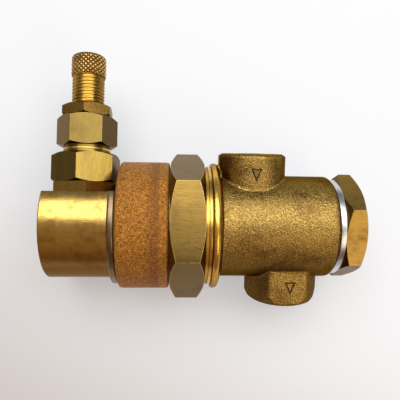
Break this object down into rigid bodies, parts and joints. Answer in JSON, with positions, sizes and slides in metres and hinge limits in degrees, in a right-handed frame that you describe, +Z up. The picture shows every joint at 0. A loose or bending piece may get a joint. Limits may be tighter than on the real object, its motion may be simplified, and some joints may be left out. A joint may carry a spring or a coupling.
{
  "type": "unloader valve",
  "caption": "Brass compressor unloader valve with an in-line check valve, opposed threaded ports, a sintered silencer ring and an adjustable pilot valve with a knurled screw.",
  "frame": {"origin": "centre of the cylinder cap's flat end face, on the main axis", "axes": "+X along the main axis from the cap to the end plug; +Z up, normal to the hexagon flat opposite the one the valve lies on; +Y towards the pilot valve's side"},
  "size_m": [0.1106, 0.092, 0.046],
  "materials": {
    "turned_brass": "turned brass, satin, with fine tool rings and small stains",
    "hexagon_brass": "drawn hexagon bar brass, bright flats with handling scratches",
    "forged_brass": "hot-forged brass, grainy shot-blasted skin",
    "sintered_bronze": "porous sintered bronze, coarse grain, orange-brown",
    "copper": "soft copper seal ring",
    "soft_aluminium": "soft aluminium washer, dull silver",
    "plated_steel": "zinc-plated steel, satin grey",
    "spring_steel": "drawn spring wire",
    "polished_steel": "polished bearing ball",
    "seal_rubber": "black nitrile rubber"
  },
  "bodies": {
    "valve": {"cylinder_cap": "turned_brass", "steel_washer": "plated_steel", "silencer_ring": "sintered_bronze", "bonnet": "hexagon_brass", "bonnet_gasket": "copper", "valve_body": "forged_brass", "plug_washer": "soft_aluminium", "end_plug": "hexagon_brass", "exhaust_seat": "turned_brass", "stem_seal": "seal_rubber", "unloader_spring": "spring_steel", "check_spring": "spring_steel", "jam_nut": "hexagon_brass", "pilot_body": "hexagon_brass", "pilot_gasket": "copper", "pilot_housing": "hexagon_brass", "pilot_spring": "spring_steel"},
    "unloader": {"unloader_piston": "turned_brass", "piston_seal": "seal_rubber", "piston_nut": "plated_steel", "unloader_stem": "plated_steel", "exhaust_poppet": "turned_brass", "exhaust_seal": "seal_rubber", "poppet_nut": "plated_steel"},
    "check_valve": {"check_disc": "turned_brass", "check_seal": "seal_rubber"},
    "pilot_poppet": {"pilot_ball": "polished_steel", "spring_button": "turned_brass"},
    "spring_follower": {"spring_cup": "plated_steel"},
    "adjuster": {"adjuster": "turned_brass"},
    "lock_nut": {"lock_nut": "hexagon_brass"}
  },
  "joints": [
    {"name": "unloader_slide", "type": "slide", "parent": "valve", "child": "unloader", "axis": [1, 0, 0], "range_m": [0, 0.0028], "stiffness_N_per_m": 5000, "springref_m": -0.004, "deforming": ["unloader_spring"]},
    {"name": "check_slide", "type": "slide", "parent": "valve", "child": "check_valve", "axis": [1, 0, 0], "range_m": [0, 0.0035], "stiffness_N_per_m": 1000, "springref_m": -0.003, "deforming": ["check_spring"]},
    {"name": "pilot_lift", "type": "slide", "parent": "valve", "child": "pilot_poppet", "axis": [0, 0.999, 0.0436], "range_m": [0, 0.0005], "stiffness_N_per_m": 5000, "springref_m": -0.0011, "deforming": ["pilot_spring"]},
    {"name": "adjuster_feed", "type": "slide", "parent": "valve", "child": "spring_follower", "axis": [0, 0.999, 0.0436], "range_m": [-0.0015, 0.0025], "deforming": ["pilot_spring"]},
    {"name": "adjuster_turn", "type": "hinge", "parent": "spring_follower", "child": "adjuster", "pos_m": [0.01175, 0.044, 0.00192], "axis": [0, 0.999, 0.0436], "range_deg": [-432, 720]},
    {"name": "lock_nut_turn", "type": "hinge", "parent": "valve", "child": "lock_nut", "pos_m": [0.01175, 0.0412, 0.0018], "axis": [0, 0.999, 0.0436], "range_deg": [0, 90]}
  ],
  "couplings": [
    {"joint": "adjuster_turn", "follows": "adjuster_feed", "rad_per_m": 5026.5}
  ]
}
